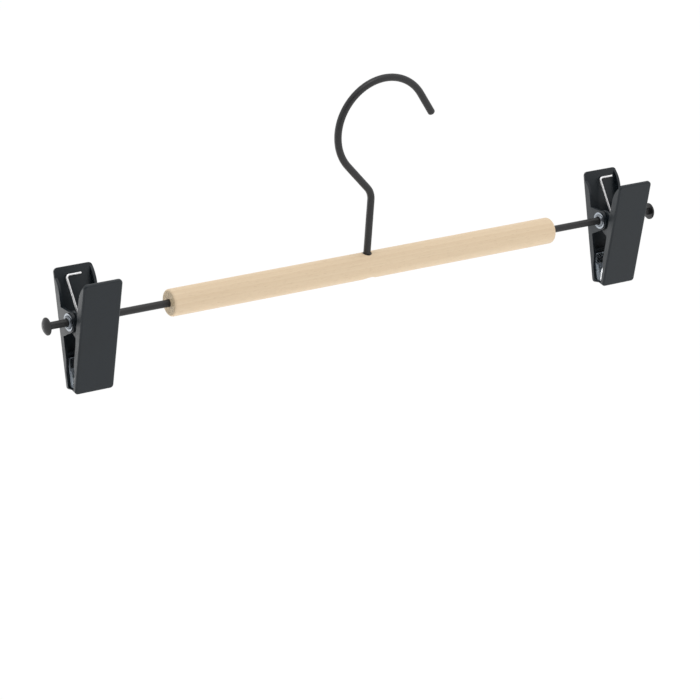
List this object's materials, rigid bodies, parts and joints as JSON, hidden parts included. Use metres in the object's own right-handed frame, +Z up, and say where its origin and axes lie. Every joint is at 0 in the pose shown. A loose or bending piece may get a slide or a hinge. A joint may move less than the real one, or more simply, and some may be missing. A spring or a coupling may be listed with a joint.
{
  "type": "skirt hanger",
  "caption": "Hanger with a round wooden bar on a swivelling wire hook and, on a headed rod at each end, a sprung clip with soft pads that slides, turns and opens.",
  "frame": {"origin": "rail seat: the point inside the hook, straight above the stem, where a rail bears", "axes": "+X along the bar, +Y to the back along the rail, +Z up"},
  "size_m": [0.3742, 0.0333, 0.1409],
  "materials": {
    "pale_wood": "fine sanded, clear matt",
    "black_steel": "satin black powder coat",
    "black_plastic": "fine spark-eroded matt",
    "spring_steel": "bright drawn wire",
    "zinc_steel": "bright zinc",
    "clear_vinyl": "soft translucent vinyl"
  },
  "bodies": {
    "hook": {"hook": "black_steel", "hook_washer": "zinc_steel"},
    "bar": {"wood_bar": "pale_wood", "left_rod": "black_steel", "right_rod": "black_steel"},
    "left_sleeve": {"left_pivot_sleeve": "zinc_steel", "left_inner_washer": "zinc_steel", "left_outer_washer": "zinc_steel"},
    "left_back": {"left_back_jaw": "black_plastic", "left_back_pad": "clear_vinyl", "left_spring": "spring_steel"},
    "left_front": {"left_front_jaw": "black_plastic", "left_front_pad": "clear_vinyl"},
    "right_sleeve": {"right_pivot_sleeve": "zinc_steel", "right_inner_washer": "zinc_steel", "right_outer_washer": "zinc_steel"},
    "right_back": {"right_back_jaw": "black_plastic", "right_back_pad": "clear_vinyl", "right_spring": "spring_steel"},
    "right_front": {"right_front_jaw": "black_plastic", "right_front_pad": "clear_vinyl"}
  },
  "joints": [
    {"name": "bar_swivel", "type": "hinge", "parent": "hook", "child": "bar", "pos_m": [0, 0, -0.1], "axis": [0, 0, 1], "continuous": true},
    {"name": "left_clip_slide", "type": "slide", "parent": "bar", "child": "left_sleeve", "axis": [1, 0, 0], "range_m": [-0.01, 0.0326]},
    {"name": "left_clip_turn", "type": "hinge", "parent": "left_sleeve", "child": "left_back", "pos_m": [-0.1621, 0, -0.1], "axis": [1, 0, 0], "continuous": true},
    {"name": "left_clip_open", "type": "hinge", "parent": "left_back", "child": "left_front", "pos_m": [-0.1621, 0, -0.1], "axis": [-1, 0, 0], "range_deg": [0, 48], "stiffness_Nm_per_rad": 0.12, "springref_deg": -68.75, "deforming": ["left_spring"]},
    {"name": "right_clip_slide", "type": "slide", "parent": "bar", "child": "right_sleeve", "axis": [-1, 0, 0], "range_m": [-0.01, 0.0326]},
    {"name": "right_clip_turn", "type": "hinge", "parent": "right_sleeve", "child": "right_back", "pos_m": [0.1621, 0, -0.1], "axis": [1, 0, 0], "continuous": true},
    {"name": "right_clip_open", "type": "hinge", "parent": "right_back", "child": "right_front", "pos_m": [0.1621, 0, -0.1], "axis": [-1, 0, 0], "range_deg": [0, 48], "stiffness_Nm_per_rad": 0.12, "springref_deg": -68.75, "deforming": ["right_spring"]}
  ]
}
